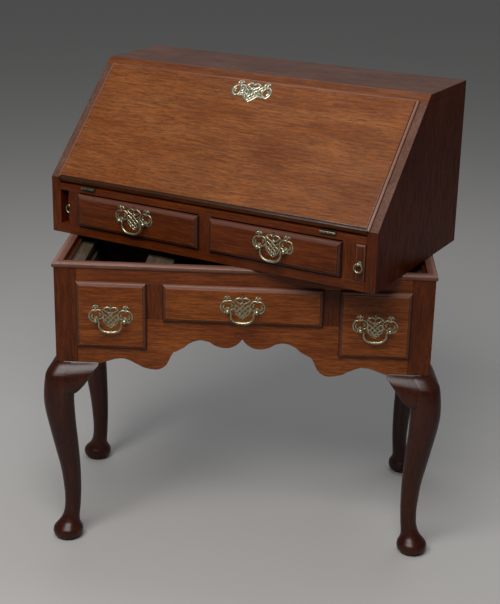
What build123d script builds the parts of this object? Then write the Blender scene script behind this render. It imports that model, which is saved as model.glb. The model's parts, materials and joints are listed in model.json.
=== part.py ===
"""Secretary desk: a slant-front bureau resting, turned, on a cabriole-leg stand.

Millimetres, +Z up, the stand's front towards -Y, floor at Z = 0. The stand and the
bureau are each modelled square in their own axes and placed when they are written.
"""
import os
from math import atan2, cos, sin

from build123d import *

# ---- driving dimensions: the stand ----
STAND_W = 755.0            # over the outer faces of the posts
STAND_D = 400.0
RIM_TOP = 620.0
RIM_T = 10.0
RIM_OUT = 3.5              # how far the rim stands proud of the posts
RIM_W = 20.0
POST = 45.0
KNEE_TOP = 410.0
FOOT_IN = 11.5             # foot centre, inwards from the post's outer faces
FOOT_R = 31.5
BOARD = 22.0
DIVIDER_X = 176.0
DIVIDER_W = 35.0
RAIL_BOTTOM = 582.3
SIDE_OPEN_Z = (444.5, 582.3)
MID_OPEN_Z = (506.5, 582.3)
CUSP_Z = 471.0
LOBE_Z = 398.0

# ---- driving dimensions: the bureau ----
BOX_W = 750.0
BOX_D = 405.0
BOX_H = 341.0
FRONT_H = 119.0            # front edge of the sides, up to where the slant starts
TOP_DEPTH = 187.0
SIDE_T = 22.0
BASE_T = 20.0
TOP_T = 15.0
BACK_T = 8.0
BED_TOP = 107.0
RAIL_H = 14.0
SLOT_W = 22.0              # room for a loper beside the side board
STILE_W = 28.0
DIV_U = (363.0, 391.5)
FALL_T = 16.0
FALL_PROUD = 5.0
LIP_OVER = 5.0
HINGE_Y = -3.5
HINGE_UNDER = 12.2         # hinge axis above the open fall's underside
LOPER_TOP = 92.5
LOPER_LEN = 310.0
LEFT_LOPER_IN = 22.0
RIGHT_LOPER_OUT = 3.0

# ---- driving dimensions: drawers and brass ----
LIP = 1.5                  # drawer lip over the edge of its opening
LIP_T = 9.0
LIP_GAP = 0.3
FRONT_CORE = 12.0
DRAWER_LEN = 338.0
DRAWER_SIDE = 8.0
PLATE_T = 1.6
POST_DX = 29.0
POST_UP = -4.0             # bail posts from the middle of the plate
POST_OUT = 10.0            # bail axis in front of the drawer face
BAIL_R = 2.0
BAIL_DROP = 24.0
BORE_GAP = 0.06
RING_R = 7.0
RING_ROD = 1.3
KNUCKLE_R = 3.0
PIN_R = 1.25
HINGE_LEN = 33.0

# ---- where the two halves stand in the shared frame ----
TURN = -26.4
CENTRE = (-6.93, -226.64)    # puts the middle of the whole outline over the origin
STAND_AT = Location((CENTRE[0], CENTRE[1], 0))
BUREAU_AT = Location((CENTRE[0] - 419.0, CENTRE[1] + 212.0, RIM_TOP + 0.3), (0, 0, TURN))

# ---- worked out from them ----
HALF_W = STAND_W / 2
POST_IN = HALF_W - POST
RISE = BOX_H - FRONT_H
RUN = BOX_D - TOP_DEPTH
SLOPE = atan2(RISE, RUN)
PROUD_ABOVE = FALL_T - FALL_PROUD
HINGE_Z = LOPER_TOP + 0.5 + HINGE_UNDER
SLOPE_PLANE = Plane(origin=(0, 0, FRONT_H), x_dir=(1, 0, 0), z_dir=(0, -sin(SLOPE), cos(SLOPE)))
HINGE_PLANE = Plane(
    origin=(0, HINGE_Y, HINGE_Z), x_dir=(1, 0, 0), z_dir=(0, -sin(SLOPE), cos(SLOPE))
)
HINGE_U = (96.0, 649.0)
LOPER_U = (SIDE_T + SLOT_W / 2, BOX_W - SIDE_T - SLOT_W / 2)


def write(part, label, place):
    """Place a finished piece in the shared frame, name it and write its STEP file."""
    placed = part.moved(place)
    placed.label = label
    export_step(placed, f"parts/{label}.step")


def board(low, high, edge=0.0):
    """A flat board between two opposite corners, with its front edges eased."""
    size = [b - a for a, b in zip(low, high)]
    middle = tuple((a + b) / 2 for a, b in zip(low, high))
    with BuildPart() as piece:
        with Locations(middle):
            Box(*size)
        if edge:
            fillet(piece.faces().sort_by(Axis.Y)[0].edges(), edge)
    return piece.part


def boards(spans):
    """Several separate boards that belong to one node."""
    return Compound([board(low, high).solid() for low, high in spans])


# ==== the stand ====
def leg():
    """Front left leg, its post's outer corner at the origin: post, knee, ankle, pad foot."""
    profile = [
        # height, centre inwards, width, corner as a share of the width
        (KNEE_TOP, 15.0, 60.0, 0.20),
        (380.0, 9.5, 62.0, 0.30),
        (350.0, 4.5, 62.0, 0.38),
        (318.0, 2.5, 60.0, 0.42),
        (265.0, 7.5, 54.0, 0.45),
        (214.0, 13.5, 48.0, 0.47),
        (158.0, 19.5, 40.0, 0.48),
        (110.0, 21.8, 35.5, 0.48),
        (68.0, 21.0, 33.5, 0.48),
        (40.0, 17.0, 40.0, 0.48),
    ]
    with BuildPart() as piece:
        for height, inwards, width, share in profile:
            with BuildSketch(Plane.XY.offset(height)):
                with Locations((inwards, inwards)):
                    RectangleRounded(width, width, width * share)
        loft()
        with BuildSketch(Plane((FOOT_IN, FOOT_IN, 0), x_dir=(1, 0, 0), z_dir=(0, -1, 0))):
            with BuildLine():
                Polyline((0, 0), (FOOT_R - 8, 0), (FOOT_R - 6, 5))
                Spline(
                    (FOOT_R - 6, 5), (FOOT_R, 18), (FOOT_R - 9, 33), (FOOT_R - 15, 46)
                )
                Polyline((FOOT_R - 15, 46), (0, 46), (0, 0))
            make_face()
        revolve(axis=Axis((FOOT_IN, FOOT_IN, 0), (0, 0, 1)))
        with Locations((POST / 2, POST / 2, (KNEE_TOP + RIM_TOP - RIM_T) / 2)):
            Box(POST, POST, RIM_TOP - RIM_T - KNEE_TOP)
    return piece.part


def bracket(side_wing):
    """One knee wing of the front left leg, in the leg's own axes."""
    along = Plane((0, -8, 0), x_dir=(1, 0, 0), z_dir=(0, -1, 0))
    across = Plane((-8, 0, 0), x_dir=(0, 1, 0), z_dir=(1, 0, 0))
    with BuildPart() as piece:
        with BuildSketch(across if side_wing else along):
            with BuildLine():
                Polyline((81.5, 402.5), (81.5, KNEE_TOP - 6.5), (46.5, KNEE_TOP - 6.5), (46.5, 345))
                Spline((46.5, 345), (57, 366), (70.5, 382.5), (81.5, 402.5))
            make_face()
        extrude(amount=20 if side_wing else -20)
    return piece.part


def stand_legs():
    """The four legs and their wings are one shape, mirrored to each corner."""
    one = leg().moved(Location((-HALF_W, 0, 0)))
    wings = [bracket(wing).moved(Location((-HALF_W, 0, 0))).solid() for wing in (False, True)]
    middle = Plane.XZ.offset(-STAND_D / 2)
    write(one, "leg_front_left", STAND_AT)
    write(one.mirror(Plane.YZ), "leg_front_right", STAND_AT)
    write(one.mirror(middle), "leg_back_left", STAND_AT)
    write(one.mirror(middle).mirror(Plane.YZ), "leg_back_right", STAND_AT)
    wings += [wing.mirror(Plane.YZ) for wing in wings]
    write(Compound(wings), "knee_wings_front", STAND_AT)
    write(Compound([wing.mirror(middle) for wing in wings]), "knee_wings_back", STAND_AT)


def apron():
    """Full-width front apron with a cusp, two shallow and two deep lobes."""
    half = [
        (0, CUSP_Z), (9, 460.5), (23, 452.5), (39, 451), (55, 455.5), (68, 463), (87, 465.3),
        (105, 458.5), (118, 448), (134, 439),
    ]
    lobe = [
        (138, 438), (144, 428), (152, 411), (163, 401), (176, LOBE_Z), (198, 401.5),
        (214, 409.3), (236, 419), (254, 418.5), (270, 413.5), (296, KNEE_TOP - 6),
    ]
    with BuildPart() as piece:
        with BuildSketch(Plane.XZ):
            with BuildLine():
                for side in (1, -1):
                    Spline(*[(side * x, z) for x, z in half])
                    Line((side * 134, 439), (side * 138, 438))
                    Spline(*[(side * x, z) for x, z in lobe])
                    Polyline(
                        (side * 296, KNEE_TOP - 6),
                        (side * POST_IN, KNEE_TOP - 6),
                        (side * POST_IN, SIDE_OPEN_Z[0]),
                        (side * (DIVIDER_X + DIVIDER_W / 2), SIDE_OPEN_Z[0]),
                        (side * (DIVIDER_X + DIVIDER_W / 2), MID_OPEN_Z[0]),
                        (0, MID_OPEN_Z[0]),
                    )
            make_face()
        extrude(amount=-BOARD)
    write(piece.part, "apron_front", STAND_AT)


def stand_frame():
    """Rails, dividers, panels, runners and the moulded rim."""
    top = RIM_TOP - RIM_T
    write(
        board((-POST_IN, 0, RAIL_BOTTOM), (POST_IN, BOARD, top)), "top_rail_front", STAND_AT
    )
    for name, side in (("left", -1), ("right", 1)):
        x = side * DIVIDER_X
        write(
            board(
                (x - DIVIDER_W / 2, 0, MID_OPEN_Z[0]), (x + DIVIDER_W / 2, BOARD, RAIL_BOTTOM)
            ),
            f"divider_{name}",
            STAND_AT,
        )
        outer, inner = sorted((side * (HALF_W - 1), side * (HALF_W - 1 - BOARD)))
        write(
            board((outer, POST, 430), (inner, STAND_D - POST, top)),
            f"side_panel_{name}",
            STAND_AT,
        )
    write(
        board((-POST_IN, STAND_D - 16, 430), (POST_IN, STAND_D - 2, top)),
        "back_panel",
        STAND_AT,
    )
    runners = []
    for side in (-1, 1):
        x = side * DIVIDER_X
        runners.append(((x - 28, BOARD, 586), (x + 28, STAND_D - 16, 600)))
        runners.append(((x - 9, BOARD, 507), (x + 9, STAND_D - 16, 580)))
        low, high = sorted((side * (DIVIDER_X - 10), side * (DIVIDER_X - 45)))
        runners.append(((low, BOARD, 494), (high, STAND_D - 16, MID_OPEN_Z[0])))
        low, high = sorted((side * (DIVIDER_X + 10), side * (DIVIDER_X + 40)))
        runners.append(((low, BOARD, 432), (high, STAND_D - 16, SIDE_OPEN_Z[0])))
        low, high = sorted((side * (POST_IN - 20), side * (HALF_W - 1 - BOARD)))
        runners.append(((low, POST, 432), (high, STAND_D - POST, SIDE_OPEN_Z[0])))
        low, high = sorted((side * (POST_IN - 4), side * (HALF_W - 1 - BOARD)))
        runners.append(((low, POST, 586), (high, STAND_D - POST, 600)))
    write(boards(runners), "drawer_runners", STAND_AT)

    with BuildPart() as rim:
        with BuildSketch(Plane.XY.offset(top)):
            with Locations((0, STAND_D / 2)):
                Rectangle(STAND_W + 2 * RIM_OUT, STAND_D + 2 * RIM_OUT)
                Rectangle(
                    STAND_W + 2 * RIM_OUT - 2 * RIM_W,
                    STAND_D + 2 * RIM_OUT - 2 * RIM_W,
                    mode=Mode.SUBTRACT,
                )
        extrude(amount=RIM_T)
        front = rim.faces().sort_by(Axis.Y)[0]
        fillet(front.edges().filter_by(Axis.X), 3.0)
    write(rim.part, "rim_moulding", STAND_AT)


# ==== drawers and their brass ====
def fret_plate(middle):
    """Pierced bat-wing plate lying on a drawer face, which looks towards -Y."""
    face = Plane(middle, x_dir=(1, 0, 0), z_dir=(0, -1, 0))
    with BuildPart() as piece:
        with BuildSketch(face):
            with BuildLine():
                for side in (1, -1):
                    Spline(
                        (0, 28), (side * 8, 18), (side * 16, 12), (side * 23, 13),
                        (side * 30, 27), (side * 38, 17), (side * 44, 2), (side * 38, -10),
                        (side * 26, -8), (side * 14, -12), (0, -20),
                    )
            make_face()
            with Locations((-15, 4), (15, 4), (0, 8), (0, -8)):
                SlotOverall(10, 5, mode=Mode.SUBTRACT)
        extrude(amount=PLATE_T)
        with BuildSketch(face):
            with Locations((-POST_DX, POST_UP), (POST_DX, POST_UP)):
                Circle(5.5)
        extrude(amount=3.0)
    return piece.part


def bored_post(middle, out, stem, head, length, bore):
    """A post standing out from a face, its head bored across for a swinging handle."""
    x, y, z = middle
    with BuildPart() as piece:
        with Locations(Location((x, y - out / 2, z), (90, 0, 0))):
            Cylinder(stem, out)
        with Locations(Location((x, y - out, z), (0, 90, 0))):
            Cylinder(head, length)
            Cylinder(bore, 2 * length, mode=Mode.SUBTRACT)
    return piece.part


def bail_posts(middle):
    """Two posts whose heads carry the bail's turned-in ends."""
    x, y, z = middle
    face = y - 3.0
    out = POST_OUT - 3.0
    return Compound(
        [
            bored_post((x + dx, face, z + POST_UP), out, 2.6, 4.2, 6.0, BAIL_R + BORE_GAP).solid()
            for dx in (-POST_DX, POST_DX)
        ]
    )


def bail(middle):
    """Swan-neck drop handle hanging from the two posts."""
    x, y, z = middle
    origin = (x, y - POST_OUT, z + POST_UP)
    reach = POST_DX - 8
    with BuildPart() as piece:
        with BuildLine(Plane(origin, x_dir=(1, 0, 0), z_dir=(0, -1, 0))):
            FilletPolyline(
                (-POST_DX - 2, 0), (-reach, 0), (-reach - 3, -11), (-13, -BAIL_DROP),
                (13, -BAIL_DROP), (reach + 3, -11), (reach, 0), (POST_DX + 2, 0), radius=4,
            )
        with BuildSketch(Plane((x - POST_DX - 2, origin[1], origin[2]), z_dir=(1, 0, 0))):
            Circle(BAIL_R)
        sweep()
    return piece.part


def drawer(name, x_span, z_span, handle, place):
    """A lipped drawer for an opening: front, box of four boards, plate, posts and bail."""
    x0, x1 = x_span
    z0, z1 = z_span
    with BuildPart() as front:
        with Locations(((x0 + x1) / 2, -LIP_GAP - LIP_T / 2, (z0 + z1) / 2)):
            Box(x1 - x0 + 2 * LIP, LIP_T, z1 - z0 + 2 * LIP)
        fillet(front.faces().sort_by(Axis.Y)[0].edges(), 5.0)
        with Locations(((x0 + x1) / 2, (FRONT_CORE - LIP_GAP) / 2, (z0 + z1) / 2)):
            Box(x1 - x0 - 1.6, FRONT_CORE + LIP_GAP, z1 - z0 - 1.6)
    write(front.part, f"{name}_front", place)

    left, right = x0 + 1.2, x1 - 1.2
    low, high = z0 + 1.0, z1 - 6.0
    back = FRONT_CORE + DRAWER_LEN
    gap = 0.2
    box = boards(
        [
            ((left, FRONT_CORE, low), (left + DRAWER_SIDE, back, high)),
            ((right - DRAWER_SIDE, FRONT_CORE, low), (right, back, high)),
            (
                (left + DRAWER_SIDE + gap, back - DRAWER_SIDE, low),
                (right - DRAWER_SIDE - gap, back, high),
            ),
            (
                (left + DRAWER_SIDE + gap, FRONT_CORE, low + 3),
                (right - DRAWER_SIDE - gap, back - DRAWER_SIDE - gap, low + 8),
            ),
        ]
    )
    write(box, f"{name}_box", place)

    middle = (handle[0], -LIP_GAP - LIP_T, handle[1])
    write(fret_plate(middle), f"{name}_plate", place)
    write(bail_posts(middle), f"{name}_posts", place)
    write(bail(middle), f"{name}_bail", place)


def stand_drawers():
    """Two deep side drawers and a shallow middle one."""
    inner = DIVIDER_X + DIVIDER_W / 2
    side_x = (inner + POST_IN) / 2
    drawer("drawer_left", (-POST_IN, -inner), SIDE_OPEN_Z, (-side_x, 511), STAND_AT)
    drawer("drawer_right", (inner, POST_IN), SIDE_OPEN_Z, (side_x, 511), STAND_AT)
    edge = DIVIDER_X - DIVIDER_W / 2
    drawer("drawer_middle", (-edge, edge), MID_OPEN_Z, (0, 541), STAND_AT)


# ==== the bureau, from its front bottom left corner ====
def bureau_sides():
    """Side boards: upright front edge, slant, and a flat top under the top board."""
    under = BOX_H - TOP_T
    slant_end = (under - FRONT_H) * RUN / RISE
    for name, x in (("left", 0), ("right", BOX_W - SIDE_T)):
        with BuildPart() as side:
            with BuildSketch(Plane((x, 0, 0), x_dir=(0, 1, 0), z_dir=(1, 0, 0))):
                with BuildLine():
                    Polyline(
                        (0, 0), (BOX_D, 0), (BOX_D, under), (slant_end, under), (0, FRONT_H),
                        close=True,
                    )
                make_face()
            extrude(amount=SIDE_T)
        write(side.part, f"bureau_side_{name}", BUREAU_AT)


def bureau_case():
    """Top, bottom, back, front frame, writing bed, guides and pigeonholes."""
    under = BOX_H - TOP_T
    slant_end = (under - FRONT_H) * RUN / RISE
    inside = (SIDE_T, BOX_W - SIDE_T)
    with BuildPart() as top:
        with BuildSketch(Plane((0, 0, 0), x_dir=(0, 1, 0), z_dir=(1, 0, 0))):
            with BuildLine():
                Polyline((slant_end, under), (BOX_D, under), (BOX_D, BOX_H), (RUN, BOX_H), close=True)
            make_face()
        extrude(amount=BOX_W)
    write(top.part, "bureau_top", BUREAU_AT)
    write(
        board((inside[0], 0, 0), (inside[1], BOX_D - BACK_T, BASE_T)), "bureau_bottom", BUREAU_AT
    )
    write(
        board((inside[0], BOX_D - BACK_T, 0), (inside[1], BOX_D, under)), "bureau_back", BUREAU_AT
    )
    rail_low = BED_TOP - RAIL_H
    write(
        board((inside[0], 0, rail_low), (inside[1], 55, BED_TOP)), "bureau_front_rail", BUREAU_AT
    )
    slot_in = SIDE_T + SLOT_W
    uprights = [
        ((slot_in, 0, BASE_T), (slot_in + STILE_W, BOARD, rail_low)),
        ((DIV_U[0], 0, BASE_T), (DIV_U[1], BOARD, rail_low)),
        ((BOX_W - slot_in - STILE_W, 0, BASE_T), (BOX_W - slot_in, BOARD, rail_low)),
    ]
    write(
        board((inside[0], 55, rail_low), (inside[1], BOX_D - BACK_T, BED_TOP)),
        "writing_bed",
        BUREAU_AT,
    )
    back = BOX_D - BACK_T
    uprights += [
        ((slot_in, BOARD, BASE_T), (slot_in + 8, back, rail_low)),
        ((BOX_W - slot_in - 8, BOARD, BASE_T), (BOX_W - slot_in, back, rail_low)),
        ((slot_in + 18, BOARD, BASE_T), (slot_in + STILE_W, back, rail_low)),
        ((BOX_W - slot_in - STILE_W, BOARD, BASE_T), (BOX_W - slot_in - 18, back, rail_low)),
        ((DIV_U[0], BOARD, BASE_T), (DIV_U[1], back, rail_low)),
    ]
    write(boards(uprights), "bureau_uprights", BUREAU_AT)

    count = 6
    front = slant_end + 28
    step = (inside[1] - inside[0] - 8) / count
    gap = 0.2
    holes = [
        ((inside[0] + gap, front, BED_TOP), (inside[1] - gap, back, BED_TOP + 8)),
        ((inside[0] + gap, front, BED_TOP + 70), (inside[1] - gap, back, BED_TOP + 78)),
    ]
    for k in range(count + 1):
        x = inside[0] + gap + k * (step - 2 * gap / count)
        holes.append(((x, front, BED_TOP + 8 + gap), (x + 8, back, BED_TOP + 70 - gap)))
        holes.append(((x, front, BED_TOP + 78 + gap), (x + 8, back, under - gap)))
    write(boards(holes), "pigeonholes", BUREAU_AT)


def fall():
    """Slant fall between the sides, its thin lip lying over their edges; brass on both faces."""
    clear = 2.0
    lower = 10.0 + HINGE_Y * cos(SLOPE) + (HINGE_Z - FRONT_H) * sin(SLOPE)
    upper = (BOX_H - TOP_T - FRONT_H) / sin(SLOPE) - 1.5
    middle = (lower + upper) / 2
    with BuildPart() as piece:
        with BuildSketch(SLOPE_PLANE.offset(-PROUD_ABOVE)):
            with Locations((BOX_W / 2, middle)):
                Rectangle(BOX_W - 2 * SIDE_T - 2 * clear, upper - lower)
        extrude(amount=FALL_T)
        with BuildSketch(SLOPE_PLANE.offset(0.5)):
            with Locations((BOX_W / 2, middle + 2.5)):
                Rectangle(BOX_W - 2 * SIDE_T + 2 * LIP_OVER, upper - lower + 5)
        extrude(amount=FALL_PROUD - 0.5)
    write(piece.part, "fall", BUREAU_AT)

    with BuildPart() as escutcheon:
        with BuildSketch(SLOPE_PLANE.offset(FALL_PROUD)):
            with Locations((BOX_W / 2, 260)):
                Ellipse(42, 25)
                SlotOverall(14, 5, rotation=90, mode=Mode.SUBTRACT)
        extrude(amount=PLATE_T)
    write(escutcheon.part, "escutcheon", BUREAU_AT)

    with BuildPart() as lock:
        with BuildSketch(SLOPE_PLANE.offset(-PROUD_ABOVE)):
            with Locations((BOX_W / 2, 266)):
                Rectangle(64, 36)
        extrude(amount=-2.0)
    write(lock.part, "fall_lock", BUREAU_AT)


def hinge_span(middle, low, high, radius, hole=0.0):
    """A length of hinge barrel about the fall's axis."""
    with BuildPart() as piece:
        at = Location((middle + (low + high) / 2, HINGE_Y, HINGE_Z), (0, 90, 0))
        with Locations(at):
            Cylinder(radius, high - low)
            if hole:
                Cylinder(hole, high - low, mode=Mode.SUBTRACT)
    return piece.part


def fall_hinges():
    """Two butt hinges: pin and middle knuckle on the rail, outer knuckles on the fall."""
    third = HINGE_LEN / 6
    fixed, moving = [], []
    for u in HINGE_U:
        with BuildPart() as leaf:
            add(hinge_span(u, -third + 0.2, third - 0.2, KNUCKLE_R))
            add(hinge_span(u, -HINGE_LEN / 2, HINGE_LEN / 2, PIN_R))
            with Locations((u, HINGE_Y / 2, HINGE_Z - 2.5)):
                Box(2 * third - 0.4, -HINGE_Y, 3.0)
            with Locations((u, -0.6, HINGE_Z - 7)):
                Box(HINGE_LEN, 1.2, 6.0)
        fixed.append(leaf.part.solid())
        with BuildPart() as strap:
            for low, high in ((-HINGE_LEN / 2, -third - 0.2), (third + 0.2, HINGE_LEN / 2)):
                add(hinge_span(u, low, high, KNUCKLE_R, PIN_R + BORE_GAP))
                with BuildSketch(HINGE_PLANE.offset(-0.9)):
                    with Locations((u + (low + high) / 2, 5.6)):
                        Rectangle(high - low, 7.4)
                extrude(amount=1.8)
            with BuildSketch(HINGE_PLANE.offset(-3.5)):
                with Locations((u, 9.4)):
                    Rectangle(HINGE_LEN, 1.2)
            extrude(amount=14.5)
        moving.append(strap.part.solid())
    write(Compound(fixed), "fall_hinge_fixed", BUREAU_AT)
    write(Compound(moving), "fall_hinge_moving", BUREAU_AT)


def lopers():
    """Pull-out supports beside the drawers, each with a post and a swinging ring."""
    for name, x, y in (
        ("left", LOPER_U[0], LEFT_LOPER_IN),
        ("right", LOPER_U[1], -RIGHT_LOPER_OUT),
    ):
        half = SLOT_W / 2 - 0.6
        body = board((x - half, y, BASE_T + 0.4), (x + half, y + LOPER_LEN, LOPER_TOP), 2.0)
        write(body, f"loper_{name}", BUREAU_AT)

        height = 56.0
        out = 7.0
        pull = bored_post((x, y, height), out, 2.2, 3.2, 6.0, RING_ROD + BORE_GAP)
        write(pull, f"loper_pull_{name}", BUREAU_AT)

        with BuildPart() as ring:
            with BuildLine(Plane((x, y - out, height), x_dir=(1, 0, 0), z_dir=(0, -1, 0))):
                FilletPolyline(
                    (-0.4, 0), (-RING_R, 0), (-RING_R, -2 * RING_R), (RING_R, -2 * RING_R),
                    (RING_R, 0), (0.4, 0), radius=4.5,
                )
            with BuildSketch(Plane((x - 0.4, y - out, height), z_dir=(-1, 0, 0))):
                Circle(RING_ROD)
            sweep()
        write(ring.part, f"loper_ring_{name}", BUREAU_AT)


def bureau_drawers():
    """Two small drawers side by side under the writing bed."""
    outer = SIDE_T + SLOT_W + STILE_W
    span = (BASE_T + 3.0, BED_TOP - RAIL_H - 3.2)
    drawer("bureau_drawer_left", (outer, DIV_U[0]), span, (214, 60.5), BUREAU_AT)
    drawer("bureau_drawer_right", (DIV_U[1], BOX_W - outer), span, (536, 60.5), BUREAU_AT)


os.makedirs("parts", exist_ok=True)
stand_legs()
apron()
stand_frame()
stand_drawers()
bureau_sides()
bureau_case()
fall()
fall_hinges()
lopers()
bureau_drawers()
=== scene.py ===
"""Slant-front oak bureau resting, turned, on its cabriole-leg stand: the finished looks."""
import json
import math

import bmesh
import bpy
import numpy as np
from mathutils import Matrix, Vector


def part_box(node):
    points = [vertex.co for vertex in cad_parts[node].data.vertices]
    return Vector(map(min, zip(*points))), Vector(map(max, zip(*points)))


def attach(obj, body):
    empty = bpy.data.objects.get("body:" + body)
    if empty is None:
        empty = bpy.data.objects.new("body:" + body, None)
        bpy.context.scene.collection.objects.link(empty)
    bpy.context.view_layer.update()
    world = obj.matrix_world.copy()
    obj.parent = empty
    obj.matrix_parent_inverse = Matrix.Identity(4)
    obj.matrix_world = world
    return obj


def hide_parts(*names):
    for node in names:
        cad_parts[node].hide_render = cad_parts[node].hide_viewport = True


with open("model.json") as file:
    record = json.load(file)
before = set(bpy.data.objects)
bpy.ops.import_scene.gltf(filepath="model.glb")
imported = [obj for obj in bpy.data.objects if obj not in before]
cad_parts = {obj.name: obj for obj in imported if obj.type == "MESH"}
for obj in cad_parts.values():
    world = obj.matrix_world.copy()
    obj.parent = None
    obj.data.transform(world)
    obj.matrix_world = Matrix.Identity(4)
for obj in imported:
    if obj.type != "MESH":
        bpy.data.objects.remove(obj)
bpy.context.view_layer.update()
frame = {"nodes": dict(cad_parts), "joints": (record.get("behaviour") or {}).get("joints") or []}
cad = frame["nodes"]

# ---- The legs --------------------------------------------------------------------------------
# Four cabriole legs in dark polished oak, each cut from one block with the square post above it.
# The knee stands proud of the post, the ankle is slim, and the foot is a turned pad.
MM = 0.001
rim_low, rim_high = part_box("rim_moulding")
RIM_OUT = 3.5 * MM
STAND_LOW = Vector((rim_low.x + RIM_OUT, rim_low.y + RIM_OUT, 0))
STAND_HIGH = Vector((rim_high.x - RIM_OUT, rim_high.y - RIM_OUT, 0))
POST = 45 * MM
KNEE_TOP = 410 * MM


def oak_group():
    """Oak figure: long streaks bent by slow noise, short dark pores and pale flecks along X."""
    group = bpy.data.node_groups.new("oak figure", "ShaderNodeTree")
    face = group.interface
    for label, kind in (
        ("Vector", "NodeSocketVector"),
        ("Dark", "NodeSocketColor"),
        ("Middle", "NodeSocketColor"),
        ("Light", "NodeSocketColor"),
        ("Streaks", "NodeSocketFloat"),
        ("Pores", "NodeSocketFloat"),
        ("Grime", "NodeSocketFloat"),
        ("Shade_And_Grime", "NodeSocketFloat"),
        ("Highlight_And_Wear", "NodeSocketFloat"),
    ):
        face.new_socket(label, in_out="INPUT", socket_type=kind)
    for label, kind in (
        ("Color", "NodeSocketColor"),
        ("Roughness", "NodeSocketFloat"),
        ("Height", "NodeSocketFloat"),
    ):
        face.new_socket(label, in_out="OUTPUT", socket_type=kind)
    node, link = group.nodes.new, group.links.new
    inputs, outputs = node("NodeGroupInput"), node("NodeGroupOutput")

    def noise(vector, stretch, detail, distort=0.0):
        scaled = node("ShaderNodeMapping")
        scaled.inputs["Scale"].default_value = stretch
        link(vector, scaled.inputs["Vector"])
        made = node("ShaderNodeTexNoise")
        made.inputs["Scale"].default_value = 1.0
        made.inputs["Detail"].default_value = detail
        made.inputs["Distortion"].default_value = distort
        link(scaled.outputs["Vector"], made.inputs["Vector"])
        return made.outputs["Fac"]

    def spread(value, low, high):
        made = node("ShaderNodeMapRange")
        made.inputs["From Min"].default_value = low
        made.inputs["From Max"].default_value = high
        link(value, made.inputs["Value"])
        return made.outputs["Result"]

    def times(a, b):
        made = node("ShaderNodeMath")
        made.operation = "MULTIPLY"
        link(a, made.inputs[0])
        if isinstance(b, float):
            made.inputs[1].default_value = b
        else:
            link(b, made.inputs[1])
        return made.outputs[0]

    def mix(share, a, b):
        made = node("ShaderNodeMix")
        made.data_type = "RGBA"
        link(share, made.inputs["Factor"])
        link(a, made.inputs["A"])
        link(b, made.inputs["B"])
        return made.outputs["Result"]

    bend = node("ShaderNodeVectorMath")
    bend.operation = "MULTIPLY_ADD"
    slow = node("ShaderNodeTexNoise")
    slow.inputs["Scale"].default_value = 3.2
    slow.inputs["Detail"].default_value = 2.0
    link(inputs.outputs["Vector"], slow.inputs["Vector"])
    link(slow.outputs["Color"], bend.inputs[0])
    bend.inputs[1].default_value = (0.0, 0.022, 0.022)
    link(inputs.outputs["Vector"], bend.inputs[2])
    vector = bend.outputs["Vector"]
    streak = spread(noise(vector, (18, 290, 290), 5, 0.2), 0.40, 0.66)
    fine = spread(noise(vector, (45, 480, 480), 3), 0.44, 0.62)
    band = spread(noise(vector, (6, 30, 30), 4), 0.34, 0.66)
    pore = spread(noise(vector, (70, 900, 900), 2), 0.56, 0.66)
    fleck = spread(noise(vector, (30, 260, 260), 2), 0.58, 0.68)
    grime = spread(noise(inputs.outputs["Vector"], (7, 7, 7), 4), 0.42, 0.72)

    base = mix(band, inputs.outputs["Middle"], inputs.outputs["Light"])
    colour = mix(times(streak, inputs.outputs["Streaks"]), base, inputs.outputs["Dark"])
    colour = mix(times(times(fine, inputs.outputs["Streaks"]), 0.55), colour, inputs.outputs["Dark"])
    colour = mix(times(times(fleck, inputs.outputs["Streaks"]), 0.5), colour, inputs.outputs["Light"])
    colour = mix(times(pore, inputs.outputs["Pores"]), colour, inputs.outputs["Dark"])
    colour = mix(times(grime, inputs.outputs["Grime"]), colour, inputs.outputs["Dark"])
    # Painted highlight, partly rubbed wear: a pale pinkish grey mixed in by the second per-face
    # attribute.
    highlight_and_wear_mix = node("ShaderNodeMix")
    highlight_and_wear_mix.data_type = "RGBA"
    link(times(inputs.outputs["Highlight_And_Wear"], 0.8), highlight_and_wear_mix.inputs["Factor"])
    link(colour, highlight_and_wear_mix.inputs["A"])
    highlight_and_wear_mix.inputs["B"].default_value = (0.25, 0.14, 0.115, 1)
    # Painted shade, partly grime: near-black mixed in by the first per-face attribute, darkest under the
    # mouldings.
    shade_and_grime_mix = node("ShaderNodeMix")
    shade_and_grime_mix.data_type = "RGBA"
    link(times(inputs.outputs["Shade_And_Grime"], 0.9), shade_and_grime_mix.inputs["Factor"])
    link(highlight_and_wear_mix.outputs["Result"], shade_and_grime_mix.inputs["A"])
    shade_and_grime_mix.inputs["B"].default_value = (0.006, 0.003, 0.002, 1)
    link(shade_and_grime_mix.outputs["Result"], outputs.inputs["Color"])

    rough = node("ShaderNodeMapRange")
    rough.inputs["To Min"].default_value = 0.30
    rough.inputs["To Max"].default_value = 0.50
    link(mix(grime, streak, fine), rough.inputs["Value"])
    link(rough.outputs["Result"], outputs.inputs["Roughness"])
    height = node("ShaderNodeMath")
    height.operation = "SUBTRACT"
    link(times(fine, 0.35), height.inputs[0])
    link(pore, height.inputs[1])
    link(height.outputs[0], outputs.inputs["Height"])
    return group


OAK = oak_group()
GRAIN_ALONG = {"x": (0, 0, 0), "y": (0, 0, -math.pi / 2), "z": (0, math.pi / 2, 0)}


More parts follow.
